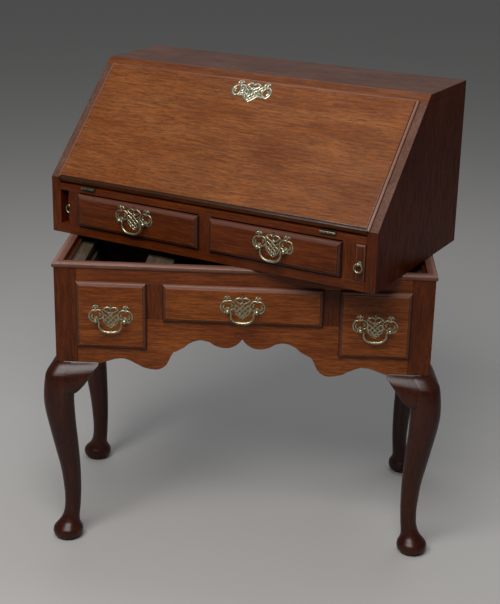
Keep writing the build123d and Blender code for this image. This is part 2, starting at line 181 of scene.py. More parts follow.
def oak(name, dark, middle, light, along="x", turn=0.0, shift=0.0, streaks=0.6, pores=0.5,
        grime=0.3, coat=0.06, bump=0.25, gloss=0.16, blur=0.2):
    """A polished oak finish, its grain along one axis of a piece turned about Z."""
    material = bpy.data.materials.new(name)
    material.use_nodes = True
    node, link = material.node_tree.nodes.new, material.node_tree.links.new
    surface = material.node_tree.nodes["Principled BSDF"]
    place = node("ShaderNodeTexCoord")
    square = node("ShaderNodeMapping")
    square.inputs["Rotation"].default_value = (0, 0, -turn)
    align = node("ShaderNodeMapping")
    align.inputs["Rotation"].default_value = GRAIN_ALONG[along]
    align.inputs["Location"].default_value = (shift, shift * 0.7, shift * 1.3)
    figure = node("ShaderNodeGroup")
    figure.node_tree = OAK
    link(place.outputs["Object"], square.inputs["Vector"])
    link(square.outputs["Vector"], align.inputs["Vector"])
    link(align.outputs["Vector"], figure.inputs["Vector"])
    for label, colour in (("Dark", dark), ("Middle", middle), ("Light", light)):
        figure.inputs[label].default_value = (*colour, 1)
    figure.inputs["Streaks"].default_value = streaks
    figure.inputs["Pores"].default_value = pores
    figure.inputs["Grime"].default_value = grime
    for label in ("Shade_And_Grime", "Highlight_And_Wear"):
        mark = node("ShaderNodeAttribute")
        mark.attribute_name = label.lower()
        link(mark.outputs["Fac"], figure.inputs[label])
    raised = node("ShaderNodeBump")
    raised.inputs["Strength"].default_value = bump
    raised.inputs["Distance"].default_value = 0.0006
    link(figure.outputs["Height"], raised.inputs["Height"])
    link(figure.outputs["Color"], surface.inputs["Base Color"])
    link(figure.outputs["Roughness"], surface.inputs["Roughness"])
    link(raised.outputs["Normal"], surface.inputs["Normal"])
    surface.inputs["Coat Weight"].default_value = coat
    surface.inputs["Coat Roughness"].default_value = blur
    surface.inputs["Specular IOR Level"].default_value = gloss
    return material


def piece(name, vertices, faces, material, body, smooth_below=None):
    """A mesh from points in metres, with edges sharper than smooth_below degrees kept crisp."""
    mesh = bpy.data.meshes.new(name)
    mesh.from_pydata(np.asarray(vertices, float).reshape(-1, 3).tolist(), [], faces)
    mesh.validate()
    made = bpy.data.objects.new(name, mesh)
    bpy.context.scene.collection.objects.link(made)
    made.data.materials.append(material)
    if smooth_below:
        mesh.polygons.foreach_set("use_smooth", np.ones(len(mesh.polygons), bool))
        mesh.set_sharp_from_angle(angle=math.radians(smooth_below))
    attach(made, body)
    return made


def marked(made, label, rows, sides):
    """Stores a value from 0 to 1 over a moulding's faces: each row's value times each side's share.

    Where a face already has a value, the larger one stays.
    """
    rows, sides = np.asarray(rows, float), np.asarray(sides, float)
    corners = np.stack([rows[:-1], rows[:-1], rows[1:], rows[1:]], -1)[:, None] * sides[None, :, None]
    values = np.zeros(len(made.data.loops))
    values[: corners.size] = corners.ravel()
    marks = made.data.attributes
    mark = marks.get(label) or marks.new(label, "FLOAT", "CORNER")
    before = np.zeros(len(values))
    mark.data.foreach_get("value", before)
    mark.data.foreach_set("value", np.maximum(before, values))


def grid_faces(rows, columns, first=0, closed=True):
    """Quads of a grid whose rows are rings, wound so that they face outwards."""
    r, c = np.meshgrid(np.arange(rows - 1), np.arange(columns if closed else columns - 1), indexing="ij")
    after = (c + 1) % columns
    quads = np.stack([r * columns + c, r * columns + after, (r + 1) * columns + after,
                      (r + 1) * columns + c], -1)
    return (quads.reshape(-1, 4) + first).tolist()


def tube(rings, first=0):
    """Points and faces of a stack of rings with both ends closed."""
    rings = np.asarray(rings)
    rows, columns = rings.shape[:2]
    faces = grid_faces(rows, columns, first)
    faces.append((np.arange(columns)[::-1] + first).tolist())
    faces.append((np.arange(columns) + first + (rows - 1) * columns).tolist())
    return rings.reshape(-1, 3), faces


def flip(faces):
    """The same faces wound the other way, for a mirrored shape."""
    return [face[::-1] for face in faces]


def curve_through(points, count):
    """Catmull-Rom curve through the points, as count evenly spaced parameters."""
    points = np.asarray(points, float)
    padded = np.vstack([2 * points[0] - points[1], points, 2 * points[-1] - points[-2]])
    t = np.linspace(0, len(points) - 1 - 1e-9, count)
    k = t.astype(int)
    u = (t - k)[:, None]
    a, b, c, d = padded[k], padded[k + 1], padded[k + 2], padded[k + 3]
    return 0.5 * (2 * b + (c - a) * u + (2 * a - 5 * b + 4 * c - d) * u**2
                  + (3 * b - a - 3 * c + d) * u**3)


def leg_rings():
    """Superellipse rings up the leg: each is |x/r|^n + |y/r|^n = 1 about a centre on the diagonal."""
    # height, centre inwards from the post's corner, half width, squareness n, all in mm
    profile = np.array([
        (0, 11.5, 22.5, 2.0), (1.2, 11.5, 24.2, 2.0), (4, 11.5, 25.0, 2.0), (5.5, 11.5, 26.5, 2.0),
        (9, 11.5, 30.0, 2.0), (16, 11.5, 31.5, 2.0), (23, 11.8, 30.2, 2.0), (31, 13.0, 25.0, 2.0),
        (40, 15.5, 20.0, 2.0), (52, 18.5, 17.4, 2.0), (68, 20.8, 16.6, 2.05), (90, 21.8, 16.9, 2.1),
        (110, 21.8, 17.8, 2.1), (158, 19.5, 20.2, 2.15), (214, 13.5, 24.2, 2.2),
        (265, 7.5, 27.2, 2.25), (300, 4.0, 29.4, 2.3), (325, 2.8, 30.4, 2.35),
        (350, 4.2, 31.2, 2.45), (372, 7.0, 31.8, 2.6), (382, 9.0, 31.8, 2.7), (388, 11.5, 31.3, 2.8),
        (394, 14.5, 30.3, 2.9), (400, 17.5, 28.8, 3.0), (405, 20.0, 26.4, 3.1), (408.5, 21.5, 23.0, 3.2),
        (410, 22.0, 21.0, 3.2),
    ])
    dense = curve_through(profile, 150)
    angle = np.linspace(0, 2 * np.pi, 56, endpoint=False) + np.pi / 56
    cosine, sine = np.cos(angle)[None], np.sin(angle)[None]
    height, centre, half, power = (dense[:, k : k + 1] for k in range(4))
    x = centre + half * np.sign(cosine) * np.abs(cosine) ** (2 / power)
    y = centre + half * np.sign(sine) * np.abs(sine) ** (2 / power)
    return np.stack([x, y, height + 0 * x], -1) * MM


def wing_rings(side_wing):
    """Cross-sections of a wing: its face follows the knee's, drawn back evenly towards its tip.

    Across a section the height falls evenly from the top to the wing's scooped lower line, and
    just over the last quarter of it turns under in a quarter ellipse.
    """
    start, length, top = 8, 78, 409.6
    s = np.linspace(0, 1, 40)[:, None]
    along = start + length * s
    under = np.interp(along, [8, 36, 42, 49, 58, 68, 77, 86],
                      [344, 344, 346, 351.5, 361.5, 376, 389, 402.5])
    t = np.linspace(0, 1, 36)[None]
    z = top - (top - under) * t
    knee = np.interp(z, [318, 325, 350, 372, 382, 388, 394, 400, 405, 408.5],
                     [-27.0, -27.6, -27.0, -24.8, -22.8, -19.8, -15.8, -11.3, -6.4, -1.5])
    tip = np.interp(z, [318, 382, 390, 396, 402, top], [-12, -16, -15, -12, -8, -1])
    ease = s**1.6
    scoop = 14 * (1 - np.sqrt(1 - np.clip((t - 0.72) / 0.28, 0, 1) ** 2))
    y = knee * (1 - ease) + tip * ease + scoop * np.minimum(1, 0.25 + s)
    y = y + 0.3 + 2.5 * np.clip((16 - along) / 8, 0, 1)
    y = np.minimum(y, 10)
    back = np.linspace(1, 0, 6)[None]
    z = np.concatenate([z, under + (top - under) * (1 - back)], 1)
    y = np.concatenate([y, 14 - 3 * s + 0 * back], 1)
    x = along + 0 * z
    return np.stack([y, x, z] if side_wing else [x, y, z], -1) * MM


leg_oak = oak("dark polished oak", (0.007, 0.0010, 0.0002), (0.030, 0.0042, 0.0006),
              (0.056, 0.0090, 0.0013), along="z", streaks=0.6, pores=0.45, grime=0.5, coat=0.6,
              gloss=0.0, blur=0.29)

corners = {
    "front_left": (STAND_LOW.x, STAND_LOW.y, 1, 1),
    "front_right": (STAND_HIGH.x, STAND_LOW.y, -1, 1),
    "back_left": (STAND_LOW.x, STAND_HIGH.y, 1, -1),
    "back_right": (STAND_HIGH.x, STAND_HIGH.y, -1, -1),
}
wing_points, wing_faces = {"front": [], "back": []}, {"front": [], "back": []}
for corner, (x0, y0, sx, sy) in corners.items():
    mirror, post_corner = (sx, sy, 1), (x0, y0, 0)
    points, faces = tube(leg_rings())
    leg = piece(f"cabriole_{corner}", points * mirror + post_corner,
                faces if sx * sy > 0 else flip(faces), leg_oak, "stand", 40)
    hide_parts(f"leg_{corner}")
    end = corner.split("_")[0]
    for side_wing in (False, True):
        first = sum(len(p) for p in wing_points[end])
        points, faces = tube(wing_rings(side_wing), first)
        wing_points[end].append(points * mirror + post_corner)
        outward = sx * sy > 0
        wing_faces[end] += faces if outward != side_wing else flip(faces)
for end in ("front", "back"):
    wings = piece(f"wings_{end}", np.vstack(wing_points[end]), wing_faces[end], leg_oak, "stand",
                  50)
    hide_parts(f"knee_wings_{end}")

# ---- The stand's frame -----------------------------------------------------------------------
# Oak boards: posts, dividers and plain ends with upright grain, a top rail and a shaped apron with
# grain across, and a rough back. Edges are slightly eased by wear.
EASE = 0.9 * MM
SQUARE = Matrix.Identity(4)


def prism(name, outline, depth, matrix, material, body, ease=EASE, finishes=None):
    """A flat outline in X and Z, carried depth along Y from zero, with eased edges.

    finishes gives other materials by face: 0 and 1 are the outline's faces, then come its edges.
    """
    outline = np.asarray(outline, float)
    count = len(outline)
    front = np.column_stack([outline[:, 0], np.zeros(count), outline[:, 1]])
    back = front + (0, depth, 0)
    points = np.vstack([front, back]) @ np.array(matrix.to_3x3()).T + np.array(matrix.translation)
    ring = np.arange(count)
    following = np.roll(ring, -1)
    sides = np.stack([ring, ring + count, following + count, following], -1).tolist()
    faces = [ring.tolist(), (ring[::-1] + count).tolist()] + sides
    made = piece(name, points, faces, material, body)
    for face, finish in (finishes or {}).items():
        made.data.materials.append(finish)
        made.data.polygons[face].material_index = len(made.data.materials) - 1
    bevel = made.modifiers.new("eased edges", "BEVEL")
    bevel.width = ease
    bevel.segments = 3
    bevel.limit_method = "ANGLE"
    bevel.angle_limit = math.radians(40)
    bevel.harden_normals = True
    return made


def board(name, low, high, matrix, material, body, finishes=None):
    """A rectangular board between two corners."""
    at = matrix @ Matrix.Translation(Vector((0, low[1], 0)))
    outline = [(low[0], low[2]), (high[0], low[2]), (high[0], high[2]), (low[0], high[2])]
    return prism(name, outline, high[1] - low[1], at, material, body, finishes=finishes)


def node_board(node, material, body, finishes=None):
    """A board in the place of a CAD board that lies square to the shared axes."""
    low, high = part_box(node)
    made = board(f"{node}_board", low, high, SQUARE, material, body, finishes)
    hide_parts(node)


FRONT_COLOURS = ((0.044, 0.0075, 0.0010), (0.165, 0.038, 0.0055), (0.235, 0.066, 0.0125))
UPRIGHT_COLOURS = ((0.024, 0.0040, 0.0006), (0.074, 0.0135, 0.0017), (0.112, 0.024, 0.0036))
END_COLOURS = ((0.024, 0.0030, 0.0004), (0.068, 0.0095, 0.0009), (0.100, 0.0165, 0.0018))
# The bureau's lower front: darker copies of the front tones, painted shade for the shadow of the
# overhanging fall.
CASE_SHADED_COLOURS = ((0.022, 0.0033, 0.0004), (0.082, 0.0145, 0.0014), (0.132, 0.028, 0.0038))
front_oak = oak("oak across", *FRONT_COLOURS, along="x")
upright_oak = oak("oak upright", *UPRIGHT_COLOURS, along="z", shift=0.4)
rail_oak = oak("oak rail", (0.034, 0.0060, 0.0009), (0.118, 0.0245, 0.0045), (0.175, 0.044, 0.0100),
               along="x", shift=1.7, streaks=0.5)
end_oak = oak("oak end", *END_COLOURS, along="z", shift=0.9, coat=0.0, gloss=0.07)
rough_oak = oak("unpolished oak", (0.030, 0.019, 0.011), (0.080, 0.056, 0.037), (0.12, 0.090, 0.063),
                along="y", coat=0.0, shift=2.2)

for corner, (x0, y0, sx, sy) in corners.items():
    low = (min(x0, x0 + sx * POST), min(y0, y0 + sy * POST), KNEE_TOP - 2 * MM)
    high = (max(x0, x0 + sx * POST), max(y0, y0 + sy * POST), rim_low.z)
    board(f"post_{corner}", low, high, SQUARE, upright_oak, "stand")
for node in ("divider_left", "divider_right"):
    node_board(node, upright_oak, "stand")
node_board("top_rail_front", rail_oak, "stand")
for node, inner_face in (("side_panel_left", 3), ("side_panel_right", 5)):
    node_board(node, end_oak, "stand", {inner_face: rough_oak})
for node in ("drawer_runners", "back_panel"):
    cad[node].data.materials.clear()
    cad[node].data.materials.append(rough_oak)

# The apron: a cusp in the middle, a shallow lobe each side of it, then a deep lobe each side.
apron_low, apron_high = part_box("apron_front")
MIDDLE_X = (apron_low.x + apron_high.x) / 2
half_wave = curve_through([(0, 471), (9, 460.5), (23, 452.5), (39, 451), (55, 455.5), (68, 463),
                           (87, 465.3), (105, 458.5), (118, 448), (134, 439)], 60)
half_lobe = curve_through([(138, 438), (144, 428), (152, 411), (163, 401), (176, 398), (198, 401.5),
                           (214, 409.3), (236, 419), (254, 418.5), (270, 413.5), (296, 404)], 70)
SIDE_SILL, MIDDLE_SILL, SILL_X = 444.5, 506.5, 193.5
post_in = (apron_high.x - apron_low.x) / 2 / MM
right = np.vstack([half_wave, half_lobe, [(post_in, 404), (post_in, SIDE_SILL), (SILL_X, SIDE_SILL),
                                          (SILL_X, MIDDLE_SILL)]])
outline = np.vstack([right, right[:0:-1] * (-1, 1)]) * MM
shaped = prism("apron", outline, apron_high.y - apron_low.y,
               Matrix.Translation((MIDDLE_X, apron_low.y, 0)), front_oak, "stand")
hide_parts("apron_front")

# ---- The rim ---------------------------------------------------------------------------------
# A flat oak frame round the stand's top with a thumb-moulded edge standing a little proud, mitred
# and glued down; the bureau rests on it.


def mitred(name, low, high, profile, matrix, material, body, closed=True, cap=False,
           shade_and_grime_sides=(1, 1, 1, 1), highlight_and_wear_sides=(1, 1, 1, 1)):
    """A profile carried round a rectangle with mitred corners.

    Each of its points is the distance inwards, the height, its painted shade (partly grime) and
    its painted highlight (partly wear); the two sides tuples share those out between the bottom, right,
    top and left sides.
    """
    profile = np.asarray(profile, float)
    inwards, height, shade_and_grime, highlight_and_wear = profile.T
    x0, x1 = low[0] + inwards, high[0] - inwards
    y0, y1 = low[1] + inwards, high[1] - inwards
    rings = np.stack([np.stack([x0, y0, height], -1), np.stack([x1, y0, height], -1),
                      np.stack([x1, y1, height], -1), np.stack([x0, y1, height], -1)], 1)
    if closed:
        rings = np.concatenate([rings, rings[:1]])
        shade_and_grime, highlight_and_wear = np.append(shade_and_grime, shade_and_grime[0]), np.append(highlight_and_wear, highlight_and_wear[0])
    rows = len(rings)
    faces = grid_faces(rows, 4)
    if cap:
        faces.append([(rows - 1) * 4 + k for k in range(4)])
        faces.append([3, 2, 1, 0])
    points = rings.reshape(-1, 3) @ np.array(matrix.to_3x3()).T + np.array(matrix.translation)
    made = piece(name, points, faces, material, body, 35)
    marked(made, "shade_and_grime", shade_and_grime, shade_and_grime_sides)
    marked(made, "highlight_and_wear", highlight_and_wear, highlight_and_wear_sides)
    return made


# The rim's profile gets painted shade under the nose and a painted highlight, partly wear, on top of the
# nose.
turn_in = np.radians(np.linspace(-80, 90, 14))
thumb = np.column_stack([3.6 - 3.6 * np.cos(turn_in), 614.6 + 5.2 * np.sin(turn_in), 0 * turn_in,
                         np.linspace(0, 1, 14) ** 5])
rim_profile = np.vstack([[(20, 610, 1, 0), (3.6, 610, 1, 0)], thumb[1:],
                         [(7, 620, 0, 0.9), (10, 620, 0, 0.4), (20, 620, 0, 0.1)]]) * (MM, MM, 1, 1)
rim = mitred("rim", rim_low, rim_high, rim_profile, SQUARE, oak(
    "oak rim", (0.040, 0.012, 0.006), (0.100, 0.034, 0.018), (0.150, 0.062, 0.038), along="x",
    shift=3.1, streaks=0.4, coat=0.2), "stand")
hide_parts("rim_moulding")

# ---- The bureau's case -----------------------------------------------------------------------
# Oak sides with upright grain and slanted front edges, a top board, bottom rail, stiles and
# divider, all glued. The case is turned on the stand, so its own axes come from its hinge.
hinge = next(j for j in frame["joints"] if j["name"] == "fall_hinge")
across = Vector(hinge["axis"])
inward = Vector((-across.y, across.x, 0))
HINGE_Y, HINGE_Z = -3.5 * MM, 105.2 * MM
CASE_W, CASE_D, CASE_H = 750 * MM, 405 * MM, 341 * MM
case_corner = Vector(hinge["pos_m"]) - across * CASE_W / 2 - inward * HINGE_Y - Vector((0, 0, HINGE_Z))
CASE = Matrix.Translation(case_corner) @ Matrix((across, inward, (0, 0, 1))).transposed().to_4x4()
TURN = math.atan2(across.y, across.x)
SIDE_T, TOP_T, TOP_EASE = 22 * MM, 15 * MM, 1.6 * MM
FRONT_H, RUN = 119 * MM, 218 * MM
RISE = CASE_H - FRONT_H
UNDER_TOP = CASE_H - TOP_T
SLANT_END = (UNDER_TOP - FRONT_H) * RUN / RISE

case_front_shaded = oak("case oak across in painted shade", *CASE_SHADED_COLOURS, along="x", turn=TURN, shift=4.4, streaks=0.55)
case_upright = oak("case oak upright", *UPRIGHT_COLOURS, along="z", turn=TURN, shift=5.1)
case_end = oak("case oak end", *END_COLOURS, along="z", turn=TURN, shift=5.9, coat=0.0,
               gloss=0.07)
case_edge = oak("case oak edge", (0.040, 0.014, 0.007), (0.105, 0.048, 0.031), (0.150, 0.078, 0.056),
                along="z", turn=TURN, shift=6.1)
top_band = oak("case oak top band", (0.050, 0.0120, 0.0030), (0.130, 0.036, 0.0095),
               (0.185, 0.062, 0.0200), along="x", turn=TURN, shift=6.7)
case_top = oak("case oak top", (0.034, 0.010, 0.0045), (0.088, 0.032, 0.018), (0.120, 0.050, 0.031),
               along="x", turn=TURN, shift=6.3, streaks=0.45, pores=0.6, grime=0.45, coat=0.2)
case_rough = oak("case unpolished oak", (0.045, 0.024, 0.011), (0.11, 0.062, 0.032),
                 (0.16, 0.098, 0.055), along="x", turn=TURN, coat=0.0, shift=7.0)

SIDEWAYS = Matrix(((0, 1, 0, 0), (1, 0, 0, 0), (0, 0, 1, 0), (0, 0, 0, 1)))
side_outline = [(0, FRONT_H), (SLANT_END, UNDER_TOP), (CASE_D, UNDER_TOP), (CASE_D, 0), (0, 0)]
for end, x in (("left", 0), ("right", CASE_W - SIDE_T)):
    at = CASE @ Matrix.Translation((x, 0, 0)) @ SIDEWAYS
    side = prism(f"case_side_{end}", side_outline, SIDE_T, at, case_end, "bureau",
                 finishes={2: case_edge, 6: case_upright})
    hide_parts(f"bureau_side_{end}")
top_outline = [(SLANT_END, UNDER_TOP), (RUN, CASE_H), (CASE_D, CASE_H), (CASE_D, UNDER_TOP)]
top = prism("case_top", top_outline, CASE_W, CASE @ SIDEWAYS, case_top, "bureau",
            TOP_EASE, {0: case_end, 1: case_end, 2: top_band})
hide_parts("bureau_top")


def case_board(name, low, high, material, slot, *stands_for):
    """A board of the case, its corners in millimetres in the case's own axes."""
    made = board(name, [v * MM for v in low], [v * MM for v in high], CASE, material, "bureau")
    if stands_for:
        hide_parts(*stands_for)


# The inside's ends and back, the bottom's top, and the bed's underside and top.
INNER_LEFT, INNER_RIGHT, INNER_BACK = 22, 728, 397
FLOOR_TOP, BED_UNDER, BED_TOP = 20, 93, 107
UPRIGHT_T, BOTTOM_RAIL_D, UPPER_RAIL_D = 22, 60, 55
case_board("bottom_rail", (INNER_LEFT, 0, 0), (INNER_RIGHT, BOTTOM_RAIL_D, FLOOR_TOP), case_front_shaded,
           "oak_light")
case_board("bottom_board", (INNER_LEFT, BOTTOM_RAIL_D, 0), (INNER_RIGHT, INNER_BACK, FLOOR_TOP),
           case_rough, "oak_inside", "bureau_bottom")
case_board("upper_rail", (INNER_LEFT, 0, BED_UNDER), (INNER_RIGHT, UPPER_RAIL_D, BED_TOP), case_front_shaded,
           "oak_light", "bureau_front_rail")
case_board("bed", (INNER_LEFT, UPPER_RAIL_D, BED_UNDER), (INNER_RIGHT, INNER_BACK, BED_TOP),
           case_front_shaded, "oak_light", "writing_bed")
for k, (x0, x1) in enumerate(((44, 72), (363, 391.5), (678, 706))):
    case_board(f"upright_{k}", (x0, 0, FLOOR_TOP), (x1, UPRIGHT_T, BED_UNDER), case_upright,
               "oak_dark", *(["bureau_uprights"] if k == 0 else []))
for k, (x0, x1) in enumerate(((44, 52), (62, 72), (363, 391.5), (678, 688), (698, 706))):
    case_board(f"guide_{k}", (x0, UPRIGHT_T, FLOOR_TOP), (x1, INNER_BACK, BED_UNDER), case_rough,
               "oak_inside")
for node in ("bureau_back", "pigeonholes"):
    cad[node].data.materials.clear()
    cad[node].data.materials.append(case_rough)

# ---- Drawers ---------------------------------------------------------------------------------
# Each front is a solid oak board with a thumb-moulded lip that laps the opening; its box is thin
# unpolished oak, nailed and glued.
LIP_PROUD, LIP_BACK, LIP_OVER = 9.3, 0.3, 1.5
CORE_GAP, CORE_START, CORE_END = 0.8, -0.4, 12
FACING = Matrix(((1, 0, 0, 0), (0, 0, -1, 0), (0, 1, 0, 0), (0, 0, 0, 1)))
STAND = Matrix.Translation((MIDDLE_X, STAND_LOW.y, 0))
ovolo = np.radians(np.linspace(0, 90, 9))
rise = np.linspace(0, 1, 9)
# Each lip point also carries painted shade (partly grime), darkest at the lip's foot, and a painted
# highlight (partly wear), brightest at the top of the ovolo.
LIP_PROFILE = np.vstack([
    [(0, LIP_BACK, 1, 0), (0, 1.4, 1, 0)],
    np.column_stack([6.0 - 6.0 * np.cos(ovolo), 1.6 + 6.2 * np.sin(ovolo), 0.95 - 0.35 * rise,
                     0.3 + 0.7 * rise]),
    [(6.5, 7.8, 0.7, 0.6), (6.8, 8.7, 0.4, 0.4), (7.6, LIP_PROUD, 0, 0.4), (9.5, LIP_PROUD, 0, 0)],
]) * (MM, MM, 1, 1)


# By default the lower and side lips get painted shade and the top lip a painted highlight, partly wear.
def lipped(name, low, high, profile, matrix, material, body, shade_and_grime_sides=(1, 0.9, 0.35, 0.95),
           highlight_and_wear_sides=(0.05, 0.3, 0.8, 0.25)):
    """A moulded panel facing -Y: the mitred profile rises from its edge to the flat field."""
    return mitred(name, low, high, profile, matrix @ FACING, material, body, False, True,
                  shade_and_grime_sides, highlight_and_wear_sides)


# Each drawer's axes, its opening's width and height, and the middle of its plate.
drawers = {
    "drawer_left": (STAND, (-332.5, -SILL_X), (SIDE_SILL, 582.3), (-263, 511)),
    "drawer_right": (STAND, (SILL_X, 332.5), (SIDE_SILL, 582.3), (263, 511)),
    "drawer_middle": (STAND, (-158.5, 158.5), (MIDDLE_SILL, 582.3), (0, 541)),
    "bureau_drawer_left": (CASE, (72, 363), (23, 89.8), (214, 60.5)),
    "bureau_drawer_right": (CASE, (391.5, 678), (23, 89.8), (536, 60.5)),
}
for k, (name, (axes, (x0, x1), (z0, z1), _)) in enumerate(drawers.items()):
    in_case = axes is CASE
    # The bureau's drawers take the darker case tones, painted shade under the fall, and a weaker painted
    # highlight on their lips.
    tones = CASE_SHADED_COLOURS if in_case else FRONT_COLOURS
    finish = oak(f"{name} oak", *tones, along="x", turn=TURN if in_case else 0.0,
                 shift=8.0 + 0.83 * k, streaks=0.6)
    low = ((x0 - LIP_OVER) * MM, (z0 - LIP_OVER) * MM)
    high = ((x1 + LIP_OVER) * MM, (z1 + LIP_OVER) * MM)
    highlight_and_wear_sides = (0.05, 0.2, 0.45, 0.15) if in_case else (0.05, 0.3, 1, 0.25)
    front = lipped(f"{name}_face", low, high, LIP_PROFILE, axes, finish, name, highlight_and_wear_sides=highlight_and_wear_sides)
    board(f"{name}_core", ((x0 + CORE_GAP) * MM, CORE_START * MM, (z0 + CORE_GAP) * MM),
          ((x1 - CORE_GAP) * MM, CORE_END * MM, (z1 - CORE_GAP) * MM), axes, finish, name)
    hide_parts(f"{name}_front")
    box_node = cad[f"{name}_box"]
    box_node.data.materials.clear()
    box_node.data.materials.append(case_rough if in_case else rough_oak)

# ---- Brass handles ---------------------------------------------------------------------------
# Cast brass: a pierced bat-wing plate of scrolls, two turned posts bolted through it, and a
# swan-neck bail that swings between the posts. Old lacquer has left it pale and slightly green.


def brass(name, tone=(0.40, 0.38, 0.25), dull=(0.11, 0.11, 0.07)):
    """Aged brass: worn bright metal with dull greenish patches in the hollows."""
    material = bpy.data.materials.new(name)
    material.use_nodes = True
    node, link = material.node_tree.nodes.new, material.node_tree.links.new
    surface = material.node_tree.nodes["Principled BSDF"]
    place = node("ShaderNodeTexCoord")
    patch = node("ShaderNodeTexNoise")
    patch.inputs["Scale"].default_value = 260
    patch.inputs["Detail"].default_value = 4
    tint = node("ShaderNodeMix")
    tint.data_type = "RGBA"
    tint.inputs["A"].default_value = (*tone, 1)
    tint.inputs["B"].default_value = (*dull, 1)
    share = node("ShaderNodeMapRange")
    share.inputs["From Min"].default_value = 0.45
    share.inputs["From Max"].default_value = 0.75
    rough = node("ShaderNodeMapRange")
    rough.inputs["To Min"].default_value = 0.26
    rough.inputs["To Max"].default_value = 0.52
    raised = node("ShaderNodeBump")
    raised.inputs["Strength"].default_value = 0.2
    raised.inputs["Distance"].default_value = 0.0004
    link(place.outputs["Object"], patch.inputs["Vector"])
    link(patch.outputs["Fac"], share.inputs["Value"])
    link(share.outputs["Result"], tint.inputs["Factor"])
    link(share.outputs["Result"], rough.inputs["Value"])
    link(patch.outputs["Fac"], raised.inputs["Height"])
    link(tint.outputs["Result"], surface.inputs["Base Color"])
    link(rough.outputs["Result"], surface.inputs["Roughness"])
    link(raised.outputs["Normal"], surface.inputs["Normal"])
    surface.inputs["Metallic"].default_value = 0.9
    return material


old_brass = brass("old brass")
# Near-black metal: painted shade for the keyhole's hole.
keyhole_shade = brass("keyhole shade", (0.10, 0.095, 0.09), (0.03, 0.028, 0.026))


def ribbon(points, width, base, rise, count=40):
    """A flat-backed band along a curve in the plate's plane, its top domed by a half ellipse."""
    line = curve_through(points, count)
    ahead = np.gradient(line, axis=0)
    ahead /= np.linalg.norm(ahead, axis=1, keepdims=True)
    aside = np.column_stack([-ahead[:, 1], ahead[:, 0]])
    angle = np.linspace(0, np.pi, 7)
    sideways = np.concatenate([np.cos(angle), [-1, 1]]) * width / 2
    up = np.concatenate([base * 0.35 + rise * np.sin(angle), [0, 0]])
    flat = line[:, None] + aside[:, None] * sideways[None, :, None]
    return np.concatenate([flat, np.broadcast_to(up, flat.shape[:2])[..., None]], -1)


def turned(profile, centre, count=28):
    """A profile of (radius, height) points turned about an axis square to the plate."""
    profile = np.asarray(profile, float)
    angle = np.linspace(0, 2 * np.pi, count, endpoint=False)
    x = centre[0] + profile[:, :1] * np.cos(angle)
    y = centre[1] + profile[:, :1] * np.sin(angle)
    return np.stack([x, y, profile[:, 1:] + 0 * x], -1)


SCROLLS = [
    [(30, 14), (37, 13.5), (42, 9), (43.5, 2), (41, -5), (35.5, -9.5), (30.5, -8)],
    [(37, 7), (38.5, 2), (36, -3)],
    [(30.5, 12), (30.5, 19), (30, 27)],
    [(24, 20), (27.5, 23), (30.5, 19.5), (33.5, 23), (37, 20)],
    [(30, 14), (23.5, 15), (17, 11.5), (14.5, 5), (17.5, -1), (23, -4.5)],
    [(23, 10), (20.5, 5.5), (23, 2)],
    [(0, 19), (6, 21), (12, 19.5), (16.5, 15.5)],
    [(0, 13), (0, 20), (0, 28)],
    [(15, 16.5), (9, 12), (4, 9.5), (0, 11.5)],
    [(-13, 7), (-6, 1), (0, -5), (6, -12), (4, -18)],
    [(-6, 11), (0, 5), (7, -2), (13, -7)],
    [(14.5, 5), (15, -5), (10, -14), (0, -22)],
    [(-14, -3), (-7, -9), (0, -15), (5, -19)],
]


def bands(lines, width):
    """A band along every line of a plate's pattern, and along its mirror image."""
    return [ribbon(np.asarray(line, float) * (side, 1), width, 1.5, 0.9)
            for line in lines for side in (1, -1)]


def fretted(name, parts, matrix, body, material=old_brass):
    """A metal piece of many closed tubes, in millimetres on a face that looks towards +Z."""
    points, faces, first = [], [], 0
    for rings in parts:
        new, quads = tube(rings, first)
        points.append(new)
        faces += quads
        first += len(new)
    stacked = np.vstack(points) * MM
    stacked = stacked @ np.array(matrix.to_3x3()).T + np.array(matrix.translation)
    made = piece(name, stacked, faces, material, body, 50)
    mesh = made.data
    shape = bmesh.new()
    shape.from_mesh(mesh)
    bmesh.ops.recalc_face_normals(shape, faces=shape.faces)
    shape.to_mesh(mesh)
    shape.free()
    return made


def round_bar(line, radius, count=14):
    """A circle square to a line at each of its points, of one radius or of one for each point."""
    line = np.asarray(line, float)
    ahead = np.gradient(line, axis=0)
    ahead /= np.linalg.norm(ahead, axis=1, keepdims=True)
    normal = np.broadcast_to((0.0, 0.0, 1.0), line.shape)
    aside = np.cross(ahead, normal)
    aside /= np.linalg.norm(aside, axis=1, keepdims=True)
    angle = np.linspace(0, 2 * np.pi, count, endpoint=False)[None, :, None]
    radius = np.broadcast_to(radius, len(line))[:, None, None]
    return line[:, None] + radius * (np.cos(angle) * aside[:, None] + np.sin(angle) * normal[:, None])


